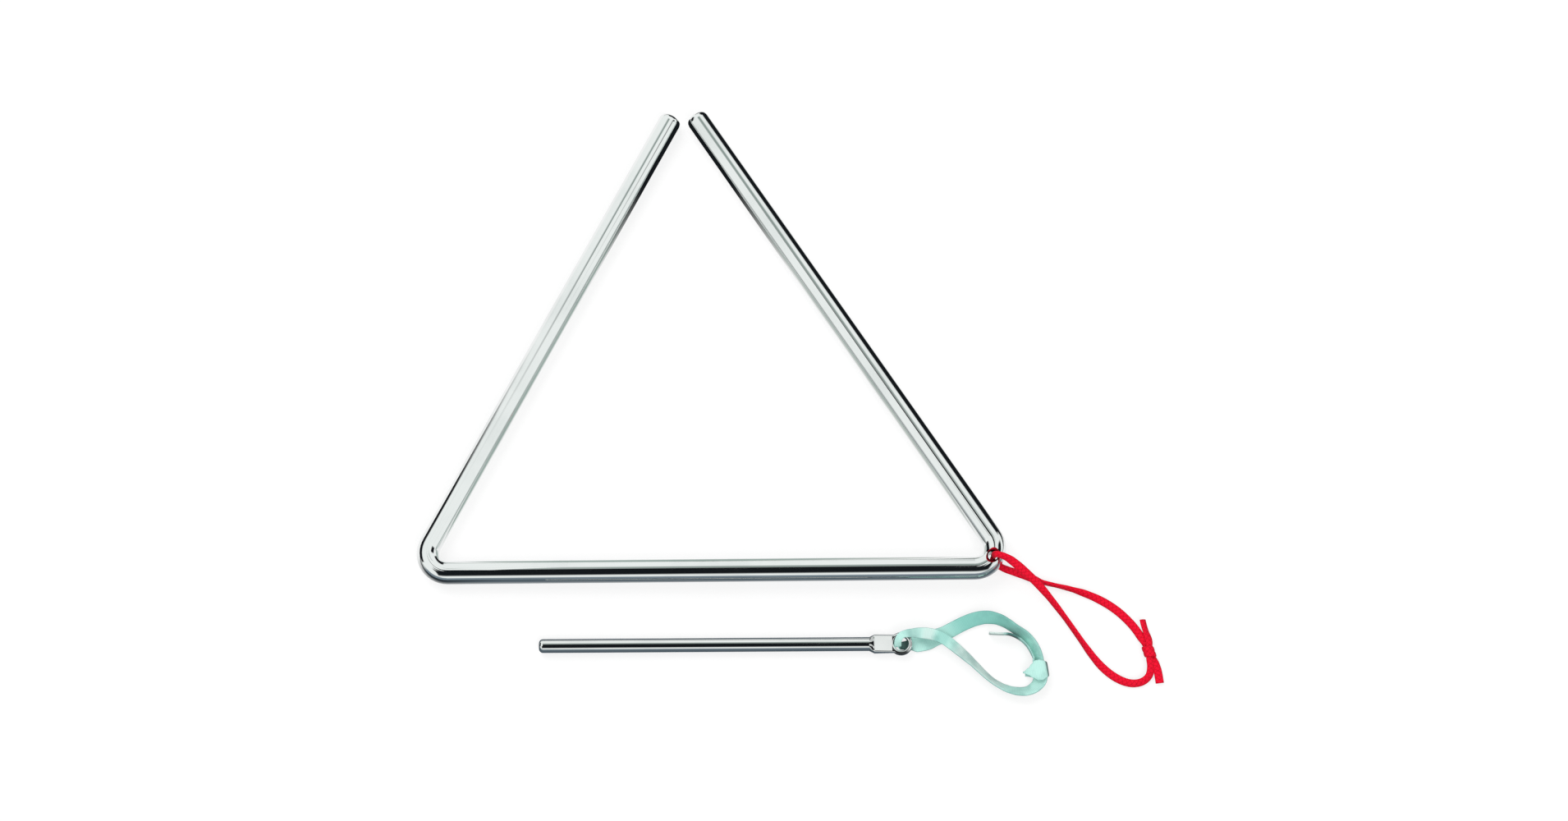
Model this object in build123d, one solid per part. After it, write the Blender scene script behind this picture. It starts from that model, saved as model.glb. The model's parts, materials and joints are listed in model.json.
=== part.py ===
from build123d import *
import math
import os

# A triangle instrument lying on a table with its beater beside it. Millimetres, +Z up, +X along the
# base bar. The origin is on the table, under the middle of the box round the bar and the beater.

# Bar: one round rod, bent at both base corners and left open at the top
rod_diameter = 8.0
base_span = 204.5
bend_radius = 7.0
left_corner_angle = 62.0
right_corner_angle = 56.7
tip_setback = 7.85
tip_rounding = 2.4

# Hole for the cord, drilled through the right corner and flared at both mouths
hole_diameter = 3.4
hole_flare = 1.1

# Beater: a straight rod with a rounded free end, flattened and pierced at the other
beater_diameter = 4.8
beater_rod_length = 113.9
beater_end_rounding = 1.4
swage_length = 1.8
neck_length = 9.2
neck_width = 6.3
neck_thickness = 3.2
paddle_thickness = 2.0
paddle_rounding = 0.7
eye_diameter = 8.0
eye_hole_diameter = 4.8
beater_offset = 25.65
beater_tip_inset = 32.8

# Hanger cord: round and limp, through the drilled corner, with its two ends tied together
cord_diameter = 2.4
cord_clearance = 0.3
cord_over_clearance = 0.7
cord_hole_bend = 2.4
cord_knot_length = 5.8
cord_knot_core_diameter = 5.1
cord_knot_turn_diameter = 6.3
cord_knot_turns = 2
cord_knot_heading = 107.0

# Hand strap: a flat lace through the beater's eye, gathered where it passes the eye, tied in a loop
strap_width = 4.4
strap_thickness = 0.8
strap_gathered_width = 2.8
strap_gather_length = 6.0
strap_bight_run = 3.5
strap_knot_size = 7.6
strap_knot_height = 4.2
strap_knot_rounding = 0.8
strap_step = 2.0

# One overrun serves all cuts
overrun = 1.0

# Share of the shorter run that a cord's arc uses up on each side of a point
arc_share = 0.45

# Outline of the strap's folded knot, as shares of its size
strap_knot_shares = [
    (-0.08, 0.42), (0.37, 0.42), (0.49, 0.16), (0.41, -0.27),
    (0.04, -0.54), (-0.18, -0.46), (-0.36, -0.21), (-0.34, 0.16),
]

# Routes of the hanger cord, measured from the hole's centre on the table
over_route = [
    (5.8, -2.6, 12.2), (9.57, -4.29, 11.945), (14.4, -8.4, 9.4), (19.6, -14.0, 6.0), (24.8, -20.6, 3.4),
    (29.6, -27.4, 1.6), (33.8, -33.6, 1.2), (37.6, -38.2, 1.2), (41.9, -41.6, 1.2), (46.4, -43.5, 1.2),
    (50.4, -43.3, 1.3), (53.3, -41.3, 2.1), (54.11, -38.31, 3.15), (53.143, -35.157, 3.15),
]
under_route = [
    (5.6, -3.4, 1.2), (9.52, -5.78, 1.2), (14.8, -7.4, 1.2), (20.6, -8.6, 1.2), (26.6, -10.0, 1.2),
    (32.6, -11.9, 1.2), (38.4, -14.6, 1.2), (43.4, -18.0, 1.2), (47.4, -22.0, 1.35), (49.6, -24.7, 2.2),
    (50.73, -27.32, 3.15), (51.667, -30.383, 3.15),
]
upper_tail_route = [(54.067, -29.643, 3.15), (53.19, -26.77, 3.15), (52.35, -24.0, 2.0), (51.8, -21.2, 1.2)]
lower_tail_route = [(55.523, -34.417, 3.15), (56.4, -37.29, 3.15), (56.95, -40.4, 2.0), (56.9, -43.3, 1.2)]
cord_knot_place = (53.6, -32.4)

# Routes of the strap, measured from the middle of the eye's outer web, each with its lean in degrees:
# zero lies flat and ninety stands on edge
strap_upper_route = [
    (3.5, 0.0, 0.4), (6.5, 0.0, 0.42), (11.4, 2.3, 0.75), (17.2, 5.3, 1.02), (22.6, 8.0, 1.18),
    (27.2, 9.4, 1.4), (31.8, 8.3, 1.8), (36.5, 4.9, 2.0), (40.3, 1.2, 2.04), (42.7, -2.6, 2.0),
    (44.2, -6.8, 1.95),
]
strap_upper_lean = [0, 0, 6, 14, 18, 24, 38, 48, 50, 48, 45]
strap_lower_route = [
    (3.5, 0.0, 4.4), (6.5, 0.0, 4.45), (11.3, 0.7, 4.45), (16.4, -1.9, 3.8), (21.6, -6.3, 2.8),
    (26.2, -10.8, 2.3), (31.0, -14.6, 2.22), (36.0, -16.7, 2.1), (40.2, -16.9, 1.9), (43.3, -15.0, 1.9),
    (44.7, -11.4, 1.95),
]
strap_lower_lean = [0, 0, -5, -15, -40, -56, -60, -50, -38, -40, -45]
strap_long_tail_route = [
    (41.6, -7.4, 2.27), (40.2, -4.0, 2.27), (38.3, -0.9, 2.27), (35.0, 2.2, 2.27), (31.2, 2.9, 2.27),
    (27.3, 3.5, 2.27),
]
strap_long_tail_lean = [85, 85, 85, 85, 85, 85]
strap_short_tail_route = [(42.4, -9.8, 2.05), (40.2, -10.1, 2.02), (38.6, -10.7, 2.0)]
strap_short_tail_lean = [-50, -50, -50]
strap_knot_place = (43.1, -9.2)

# Places that follow from the sizes above
rod_radius = rod_diameter / 2
bend_centre_x = base_span / 2 - bend_radius - rod_radius
left_lean = math.radians(left_corner_angle)
right_lean = math.radians(right_corner_angle)
left_bend_reach = bend_radius * math.tan((math.pi - left_lean) / 2)
right_bend_reach = bend_radius * math.tan((math.pi - right_lean) / 2)
corner_span = 2 * bend_centre_x + left_bend_reach + right_bend_reach
top_lean = math.pi - left_lean - right_lean
left_side_length = corner_span * math.sin(right_lean) / math.sin(top_lean)
right_side_length = corner_span * math.sin(left_lean) / math.sin(top_lean)
left_leg_length = left_side_length - left_bend_reach - tip_setback
right_leg_length = right_side_length - right_bend_reach - tip_setback
left_height = (left_side_length - tip_setback) * math.sin(left_lean)
right_height = (right_side_length - tip_setback) * math.sin(right_lean)
left_tip_reach = (rod_radius - tip_rounding) * math.cos(left_lean) + tip_rounding * (1 - math.sin(left_lean))
right_tip_reach = (rod_radius - tip_rounding) * math.cos(right_lean) + tip_rounding * (1 - math.sin(right_lean))
bar_reach = max(left_height + left_tip_reach, right_height + right_tip_reach)
beater_reach = beater_offset + max(eye_diameter, neck_width) / 2
base_y = (beater_reach - bar_reach) / 2
beater_y = base_y - beater_offset
beater_radius = beater_diameter / 2
eye_tip_x = base_span / 2 - beater_tip_inset
eye_x = eye_tip_x - eye_diameter / 2
eye_web = (eye_diameter - eye_hole_diameter) / 2
web_place = Vector(eye_tip_x - eye_web / 2, beater_y, 0)

# The bar rests on its left leg and, at the right corner, on the cord that runs under it
left_bend_centre = Vector(-bend_centre_x, base_y + bend_radius, rod_radius)
right_bend_centre = Vector(bend_centre_x, base_y + bend_radius, rod_radius)
left_direction = Vector(math.cos(left_lean), math.sin(left_lean), 0)
right_direction = Vector(-math.cos(right_lean), math.sin(right_lean), 0)
left_leg_start = left_bend_centre + Vector(-math.sin(left_lean), math.cos(left_lean), 0) * bend_radius
right_leg_start = right_bend_centre + Vector(math.sin(right_lean), math.cos(right_lean), 0) * bend_radius
corner_heading = math.radians(-right_corner_angle / 2)
corner_outward = Vector(math.cos(corner_heading), math.sin(corner_heading), 0)
hole_in_bar = right_bend_centre + corner_outward * bend_radius
bar_lift = cord_diameter + cord_clearance
hole_to_left_leg = (hole_in_bar - left_leg_start).cross(left_direction).length
bar_lean = math.degrees(math.asin(bar_lift / hole_to_left_leg))
rest_axis = Axis(left_leg_start, left_direction)


def leaned(shape):
    """Return a shape of the flat bar, leaned onto the cord under its right corner."""
    return shape.rotate(rest_axis, -bar_lean)


hole_place = leaned(Vertex(hole_in_bar)).center()
cord_foot = Vector(hole_place.X, hole_place.Y, 0)


def bar():
    """Return the bent rod with its rounded tips and its drilled corner."""
    left_tip = left_leg_start + left_direction * left_leg_length
    right_tip = right_leg_start + right_direction * right_leg_length
    base_drop = Vector(0, -bend_radius, 0)
    left_middle = Vector(math.sin(left_lean / 2), math.cos(left_lean / 2), 0)
    left_bend_middle = left_bend_centre - Vector(left_middle.Y, left_middle.X, 0) * bend_radius
    path = Wire([
        Edge.make_line(left_tip, left_leg_start),
        Edge.make_three_point_arc(left_leg_start, left_bend_middle, left_bend_centre + base_drop),
        Edge.make_line(left_bend_centre + base_drop, right_bend_centre + base_drop),
        Edge.make_three_point_arc(right_bend_centre + base_drop, hole_in_bar, right_leg_start),
        Edge.make_line(right_leg_start, right_tip),
    ])
    rod = sweep(Plane(origin=left_tip, z_dir=-left_direction) * Circle(rod_radius), path=path)
    tips = rod.edges().filter_by(GeomType.CIRCLE).sort_by(Axis.Y)[-2:]
    rod = fillet(tips, radius=tip_rounding)
    drill = Cylinder(hole_diameter / 2, rod_diameter + 2 * overrun)
    flare_height = hole_flare + overrun
    flare = Cone(hole_diameter / 2, hole_diameter / 2 + flare_height, flare_height)
    flare_z = rod_radius - hole_flare + flare_height / 2
    upper_flare = Pos(0, 0, flare_z) * flare
    hole = drill + upper_flare + mirror(upper_flare, about=Plane.XY)
    return leaned(rod - Pos(*hole_in_bar) * hole)


def beater():
    """Return the beater: rod, swaged shoulder, neck that thins towards the pierced eye, all one forging."""
    neck_x = eye_x - neck_length
    neck_end_x = eye_x - eye_hole_diameter / 2 - paddle_rounding
    shoulder_x = neck_x - swage_length
    end_x = shoulder_x - beater_rod_length
    rod = Pos((end_x + shoulder_x) / 2, 0, 0) * Rot(0, 90, 0) * Cylinder(beater_radius, beater_rod_length)
    rod = fillet(rod.edges().filter_by(GeomType.CIRCLE).sort_by(Axis.X)[0], radius=beater_end_rounding)
    across = Plane(origin=(shoulder_x, 0, 0), x_dir=(0, 1, 0), z_dir=(1, 0, 0))
    thick = RectangleRounded(neck_width, neck_thickness, paddle_rounding)
    thin = RectangleRounded(neck_width, paddle_thickness, paddle_rounding)
    swage = loft([across * Circle(beater_radius), across.offset(swage_length) * thick])
    neck = loft([across.offset(swage_length) * thick, across.offset(neck_end_x - shoulder_x) * thin])
    outline = Pos(neck_x + neck_length / 2, 0) * Rectangle(neck_length, neck_width)
    outline = outline + Pos(eye_x, 0) * Circle(eye_diameter / 2) - Pos(eye_x, 0) * Circle(eye_hole_diameter / 2)
    paddle = extrude(outline, amount=paddle_thickness / 2, both=True)
    rims = paddle.faces().filter_by(Axis.Z).edges()
    rims = [edge for edge in rims if edge.center().X > neck_x + overrun / 2]
    paddle = fillet(rims, radius=paddle_rounding)
    paddle = split(paddle, bisect_by=Plane(origin=(neck_end_x, 0, 0), z_dir=(1, 0, 0)), keep=Keep.TOP)
    return Pos(0, beater_y, beater_radius) * (rod + swage + neck + paddle)


def placed(route, origin):
    """Return a route's points moved to where its carrier is."""
    return [origin + Vector(*point) for point in route]


def cord_path(points):
    """Return straight runs joined by tangent arcs, each as large as its two runs allow."""
    radii = []
    for before, here, after in zip(points, points[1:], points[2:]):
        turn = math.radians((here - before).get_angle(after - here))
        shorter = min((here - before).length, (after - here).length)
        radii.append(arc_share * shorter / math.tan(turn / 2))
    return FilletPolyline(*points, radius=radii), radii


def report(name, solid, path, section, radii):
    """Print a cord's length, its arcs and how its volume compares with its section."""
    arcs = " ".join(f"{radius:.1f}" for radius in radii)
    print(f"{name}: length {path.length:.1f}, volume share {solid.volume / (section * path.length):.4f}, arcs {arcs}")


def tube(name, points):
    """Return a round cord along a route."""
    path, radii = cord_path(points)
    solid = sweep(Plane(origin=path @ 0, z_dir=path % 0) * Circle(cord_diameter / 2), path=path)
    report(name, solid, path, math.pi * cord_diameter**2 / 4, radii)
    return solid


def bight_through_hole():
    """Return the cord that comes from under the bar, up through the hole and out over the top."""
    under = Vector(0, 0, cord_diameter / 2)
    over = under + Vector(0, 0, rod_diameter + cord_clearance + cord_over_clearance + cord_diameter)
    points = placed([under_route[0], under, over, over_route[0]], cord_foot)
    path = FilletPolyline(*points, radius=cord_hole_bend)
    solid = sweep(Plane(origin=path @ 0, z_dir=path % 0) * Circle(cord_diameter / 2), path=path)
    report("hanger_bight", solid, path, math.pi * cord_diameter**2 / 4, [cord_hole_bend, cord_hole_bend])
    return solid


def cord_knot():
    """Return the tied knot: turns of cord drawn tight round the two ends."""
    turn_radius = cord_diameter / 2
    wound_radius = cord_knot_turn_diameter / 2
    pitch = cord_diameter
    knot = Cylinder(cord_knot_core_diameter / 2, cord_knot_length)
    for turn in range(cord_knot_turns):
        along = (turn - (cord_knot_turns - 1) / 2) * pitch
        knot = knot + Pos(0, 0, along) * Torus(wound_radius - turn_radius, turn_radius)
    heading = math.radians(cord_knot_heading)
    centre = cord_foot + Vector(*cord_knot_place, wound_radius)
    return Plane(origin=centre, z_dir=(math.cos(heading), math.sin(heading), 0)) * knot


def lace(name, route, leans, gathered):
    """Return a flat lace along a route, leaning as its points say, gathered at its start or not."""
    points = placed(route, web_place)
    path, radii = cord_path(points)
    runs = [(after - before).length for before, after in zip(points, points[1:])]
    marks = [sum(runs[:count]) / sum(runs) for count in range(len(points))]
    steps = math.ceil(path.length / strap_step)
    sections = []
    for step in range(steps + 1):
        share = step / steps
        span = max(index for index in range(len(runs)) if marks[index] <= share)
        part = (share - marks[span]) / (marks[span + 1] - marks[span])
        lean = math.radians(leans[span] + (leans[span + 1] - leans[span]) * part)
        along = path % share
        level = Vector(0, 0, 1).cross(along).normalized()
        raised = along.cross(level).normalized()
        breadth = level * math.cos(lean) + raised * math.sin(lean)
        spread = min(share * path.length / strap_gather_length, 1) if gathered else 1
        width = strap_gathered_width + (strap_width - strap_gathered_width) * spread
        frame = Plane(origin=path @ share, x_dir=breadth, z_dir=along)
        sections.append(frame * Rectangle(width, strap_thickness))
    solid = loft(sections, ruled=True)
    report(name, solid, path, strap_width * strap_thickness, radii)
    return solid


def bight_through_eye():
    """Return the strap's fold round the eye's outer web, lying just clear of it all round."""
    outer = beater_radius
    inner = beater_radius - strap_thickness
    band = Circle(outer) + Pos(strap_bight_run / 2, 0) * Rectangle(strap_bight_run, 2 * outer)
    opening = strap_bight_run + overrun
    band = band - Circle(inner) - Pos(opening / 2, 0) * Rectangle(opening, 2 * inner)
    fold = extrude(Plane.XZ * band, amount=strap_gathered_width / 2, both=True)
    return Pos(web_place.X, web_place.Y, beater_radius) * fold


def strap_knot():
    """Return the strap's folded knot, flat on the table."""
    corners = [(x * strap_knot_size, y * strap_knot_size) for x, y in strap_knot_shares]
    knot = extrude(make_face(Polyline(*corners, close=True)), amount=strap_knot_height)
    knot = fillet(knot.edges().filter_by(Axis.Z), radius=strap_knot_rounding)
    knot = fillet(knot.faces().sort_by(Axis.Z)[-1].edges(), radius=strap_knot_rounding)
    return Pos(*(web_place + Vector(*strap_knot_place, 0))) * knot


tied_knot = cord_knot()
folded_knot = strap_knot()
nodes = {
    "triangle_bar": bar(),
    "hanger_bight": bight_through_hole(),
    "hanger_over_run": tube("hanger_over_run", placed(over_route, cord_foot)) - tied_knot,
    "hanger_under_run": tube("hanger_under_run", placed(under_route, cord_foot)) - tied_knot,
    "hanger_knot": tied_knot,
    "hanger_upper_tail": tube("hanger_upper_tail", placed(upper_tail_route, cord_foot)) - tied_knot,
    "hanger_lower_tail": tube("hanger_lower_tail", placed(lower_tail_route, cord_foot)) - tied_knot,
    "beater": beater(),
    "strap_bight": bight_through_eye(),
    "strap_upper_run": lace("strap_upper_run", strap_upper_route, strap_upper_lean, True) - folded_knot,
    "strap_lower_run": lace("strap_lower_run", strap_lower_route, strap_lower_lean, True) - folded_knot,
    "strap_knot": folded_knot,
    "strap_long_tail": lace("strap_long_tail", strap_long_tail_route, strap_long_tail_lean, False) - folded_knot,
    "strap_short_tail": lace("strap_short_tail", strap_short_tail_route, strap_short_tail_lean, False) - folded_knot,
}

os.makedirs("parts", exist_ok=True)
for name, shape in nodes.items():
    export_step(shape, f"parts/{name}.step")
print(f"hole at {hole_place.X:.3f} {hole_place.Y:.3f} {hole_place.Z:.3f}, bar leans {bar_lean:.4f} degrees")
print(f"eye web at {web_place.X:.3f} {web_place.Y:.3f} {beater_radius:.3f}")
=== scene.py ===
"""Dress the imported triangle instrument: chromed bar and beater, red hanger lace, mint hand strap."""

from __future__ import annotations

import json
import logging
import math
from dataclasses import dataclass, field, replace
from enum import Enum
from typing import Any, Sequence

import bmesh
import bpy
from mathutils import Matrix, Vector

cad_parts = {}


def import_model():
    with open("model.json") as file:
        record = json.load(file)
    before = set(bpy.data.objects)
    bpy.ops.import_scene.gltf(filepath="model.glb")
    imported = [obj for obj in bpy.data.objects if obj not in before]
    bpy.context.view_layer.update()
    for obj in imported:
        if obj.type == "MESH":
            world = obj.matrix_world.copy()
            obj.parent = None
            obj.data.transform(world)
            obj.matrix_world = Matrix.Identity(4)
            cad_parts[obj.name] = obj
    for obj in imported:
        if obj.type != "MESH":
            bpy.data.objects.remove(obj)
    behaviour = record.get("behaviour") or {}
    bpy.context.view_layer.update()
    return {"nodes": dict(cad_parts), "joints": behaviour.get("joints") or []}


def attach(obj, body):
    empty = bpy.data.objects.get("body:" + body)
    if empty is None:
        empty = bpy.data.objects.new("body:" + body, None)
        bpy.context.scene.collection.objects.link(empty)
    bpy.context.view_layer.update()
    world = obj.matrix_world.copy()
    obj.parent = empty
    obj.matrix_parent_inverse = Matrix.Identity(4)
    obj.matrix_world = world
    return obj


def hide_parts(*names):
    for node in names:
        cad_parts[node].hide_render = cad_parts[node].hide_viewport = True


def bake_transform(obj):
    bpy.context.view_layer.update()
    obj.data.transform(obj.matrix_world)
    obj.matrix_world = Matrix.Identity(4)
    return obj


LOG = logging.getLogger("triangle")
MM = 0.001
PHOTO_WIDTH = 1910
SENSOR_MM = 36.0
FULL_TURN = 2.0 * math.pi
UP = Vector((0.0, 0.0, 1.0))

Colour = tuple[float, float, float, float]
Edges = tuple[float, float, float, float]
Step = tuple[float, float]
Place = tuple[float, float, float]
Socket = bpy.types.NodeSocket


class Breadth(Enum):
    """How a lace's broad side is set along its line."""

    LEVEL = "leaning from level"
    AXIAL = "along a fixed axis"


class LightRay(Enum):
    """The Light Path outputs that a backdrop tells apart."""

    CAMERA = "Is Camera Ray"
    GLOSSY = "Is Glossy Ray"


class Tone(Enum):
    """The tones of the table, the room and its cards."""

    WHITE = (1.0, 1.0, 1.0, 1.0)
    FILL = (0.55, 0.55, 0.55, 1.0)
    MATT = (0.3, 0.3, 0.3, 1.0)
    BLACK = (0.008, 0.01, 0.012, 1.0)
    SHADE = (0.1, 0.13, 0.155, 1.0)
    SLATE = (0.2, 0.25, 0.29, 1.0)
    VEIL = (0.3, 0.36, 0.34, 1.0)
    DOVE = (0.38, 0.44, 0.42, 1.0)
    INSIDE = (0.38, 0.46, 0.43, 1.0)
    MIST = (0.45, 0.47, 0.46, 1.0)
    BRIGHT_SIDE = (0.62, 0.65, 0.63, 1.0)
    PALE = (0.93, 0.96, 0.95, 1.0)


@dataclass(frozen=True)
class Station:
    """One control point of a lace: place in millimetres, lean in degrees and share of the full width."""

    x: float
    y: float
    z: float
    lean: float = 0.0
    spread: float = 1.0


def lay_out(*rows: tuple[float, ...]) -> list[Station]:
    """Return a lace's control points.

    Args:
        *rows: X, Y and Z of each, then its lean and its spread where they aren't plain.

    Returns:
        The stations, in order.
    """
    return [Station(*row) for row in rows]


def level_way(degrees: float) -> Vector:
    """Return the level direction at an angle from +X.

    Args:
        degrees: The angle.

    Returns:
        A unit vector.
    """
    angle = math.radians(degrees)
    return Vector((math.cos(angle), math.sin(angle), 0.0))


def put_in_scene(name: str, shape: bmesh.types.BMesh, finish: bpy.types.Material) -> bpy.types.Object:
    """Turn a finished shape into an object of the scene.

    Args:
        name: The object's name.
        shape: The shape, which is used up.
        finish: Its material.

    Returns:
        The object.
    """
    mesh = bpy.data.meshes.new(name)
    shape.to_mesh(mesh)
    shape.free()
    mesh.materials.append(finish)
    made = bpy.data.objects.new(name, mesh)
    bpy.context.scene.collection.objects.link(made)
    return made


class NodeSheet:
    """Short-hands for wiring the nodes of one material or world."""

    def __init__(self, owner: bpy.types.Material | bpy.types.World) -> None:
        """Start with an empty tree.

        Args:
            owner: The material or world that the nodes belong to.
        """
        owner.use_nodes = True
        self.tree = owner.node_tree
        self.tree.nodes.clear()

    def add(self, kind: str, **values: Any) -> bpy.types.Node:
        """Add a node and set its own properties.

        Args:
            kind: The node's Blender type.
            **values: Properties of the node.

        Returns:
            The new node.
        """
        node = self.tree.nodes.new(kind)
        for name, value in values.items():
            setattr(node, name, value)
        return node

    def feed(self, socket: Socket, value: Any) -> None:
        """Link an output to a socket, or set the socket's own value.

        Args:
            socket: The input.
            value: An output socket, a number or a colour.
        """
        if isinstance(value, Socket):
            self.tree.links.new(value, socket)
        else:
            socket.default_value = value

    def coords(self, kind: str) -> Socket:
        """Return one kind of texture coordinates."""
        return self.add("ShaderNodeTexCoord").outputs[kind]

    def parts(self, kind: str) -> tuple[Socket, ...]:
        """Return the X, Y and Z of one kind of texture coordinates.

        Args:
            kind: Name of the coordinates.

        Returns:
            The three outputs.
        """
        split = self.add("ShaderNodeSeparateXYZ")
        self.feed(split.inputs[0], self.coords(kind))
        return tuple(split.outputs)

    def math(self, operation: str, first: Any, second: Any = 0.0) -> Socket:
        """Return the result of one Math node.

        Args:
            operation: The node's operation.
            first: First number or output.
            second: Second number or output.

        Returns:
            The node's output.
        """
        node = self.add("ShaderNodeMath", operation=operation)
        self.feed(node.inputs[0], first)
        self.feed(node.inputs[1], second)
        return node.outputs[0]

    def plus(self, first: Any, second: Any) -> Socket:
        """Return a sum."""
        return self.math("ADD", first, second)

    def less(self, first: Any, second: Any) -> Socket:
        """Return what is left of the first when the second is taken off."""
        return self.math("SUBTRACT", first, second)

    def times(self, first: Any, second: Any) -> Socket:
        """Return a product."""
        return self.math("MULTIPLY", first, second)

    def reach(self, first: Any, second: Any) -> Socket:
        """Return the long side over two square sides."""
        return self.math("SQRT", self.plus(self.times(first, first), self.times(second, second)))

    def ramp(self, value: Any, start: float, end: float) -> Socket:
        """Return a smooth step from 0 at start to 1 at end.

        Args:
            value: The output that is measured.
            start: Where the step begins.
            end: Where the step is complete.

        Returns:
            The node's output.
        """
        node = self.add("ShaderNodeMapRange", interpolation_type="SMOOTHSTEP")
        flip = start > end
        low, high = (end, start) if flip else (start, end)
        self.feed(node.inputs["Value"], value)
        node.inputs["From Min"].default_value = low
        node.inputs["From Max"].default_value = high
        node.inputs["To Min"].default_value = 1.0 if flip else 0.0
        node.inputs["To Max"].default_value = 0.0 if flip else 1.0
        return node.outputs["Result"]

    def band(self, value: Any, edges: Edges) -> Socket:
        """Return 1 between the two middle edges, fading to 0 at the outer ones.

        Args:
            value: The output that is measured.
            edges: Outer low, inner low, inner high and outer high edge.

        Returns:
            The node's output.
        """
        rise = self.ramp(value, edges[0], edges[1])
        fall = self.ramp(value, edges[3], edges[2])
        return self.times(rise, fall)

    def blend(self, share: Any, first: Any, second: Any) -> Socket:
        """Return a mix of two colours.

        Args:
            share: How much of the second colour shows.
            first: Colour or output at 0.
            second: Colour or output at 1.

        Returns:
            The node's output.
        """
        return self.mix("RGBA", share, first, second)

    def mix(self, kind: str, share: Any, first: Any, second: Any) -> Socket:
        """Return a mix of two values of one kind.

        Args:
            kind: The node's data type.
            share: How much of the second value shows.
            first: Value or output at 0.
            second: Value or output at 1.

        Returns:
            The node's output.
        """
        node = self.add("ShaderNodeMix", data_type=kind)
        self.feed(node.inputs["Factor"], share)
        self.feed(node.inputs["A"], first)
        self.feed(node.inputs["B"], second)
        return node.outputs["Result"]

    def noise(self, place: Any, scale: float, detail: float) -> Socket:
        """Return a noise value.

        Args:
            place: Coordinates.
            scale: Waves per metre on those coordinates.
            detail: Number of finer layers.

        Returns:
            The node's output.
        """
        node = self.add("ShaderNodeTexNoise")
        self.feed(node.inputs["Vector"], place)
        node.inputs["Scale"].default_value = scale
        node.inputs["Detail"].default_value = detail
        return node.outputs["Fac"]

    def bump(self, height: Any, strength: float, distance: float) -> Socket:
        """Return a normal raised by a height.

        Args:
            height: The height's output.
            strength: How much of it shows.
            distance: Height in metres of a value of 1.

        Returns:
            The node's output.
        """
        node = self.add("ShaderNodeBump")
        node.inputs["Strength"].default_value = strength
        node.inputs["Distance"].default_value = distance
        self.feed(node.inputs["Height"], height)
        return node.outputs["Normal"]

    def surface(self, **sockets: Any) -> None:
        """Finish a material with a Principled surface.

        Args:
            **sockets: Values of its sockets, with underscores for blanks.
        """
        shader = self.add("ShaderNodeBsdfPrincipled")
        for name, value in sockets.items():
            self.feed(shader.inputs[name.replace("_", " ")], value)
        self.show(shader.outputs["BSDF"])

    def either(self, share: Any, first: Socket, second: Socket) -> Socket:
        """Return a mix of two shaders.

        Args:
            share: How much of the second shader shows.
            first: Shader at 0.
            second: Shader at 1.

        Returns:
            The mixed shader's output.
        """
        node = self.add("ShaderNodeMixShader")
        for socket, value in zip(node.inputs, (share, first, second)):
            self.feed(socket, value)
        return node.outputs[0]

    def show(self, shader: Socket) -> None:
        """Finish a material with a shader."""
        self.feed(self.add("ShaderNodeOutputMaterial").inputs["Surface"], shader)


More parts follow.
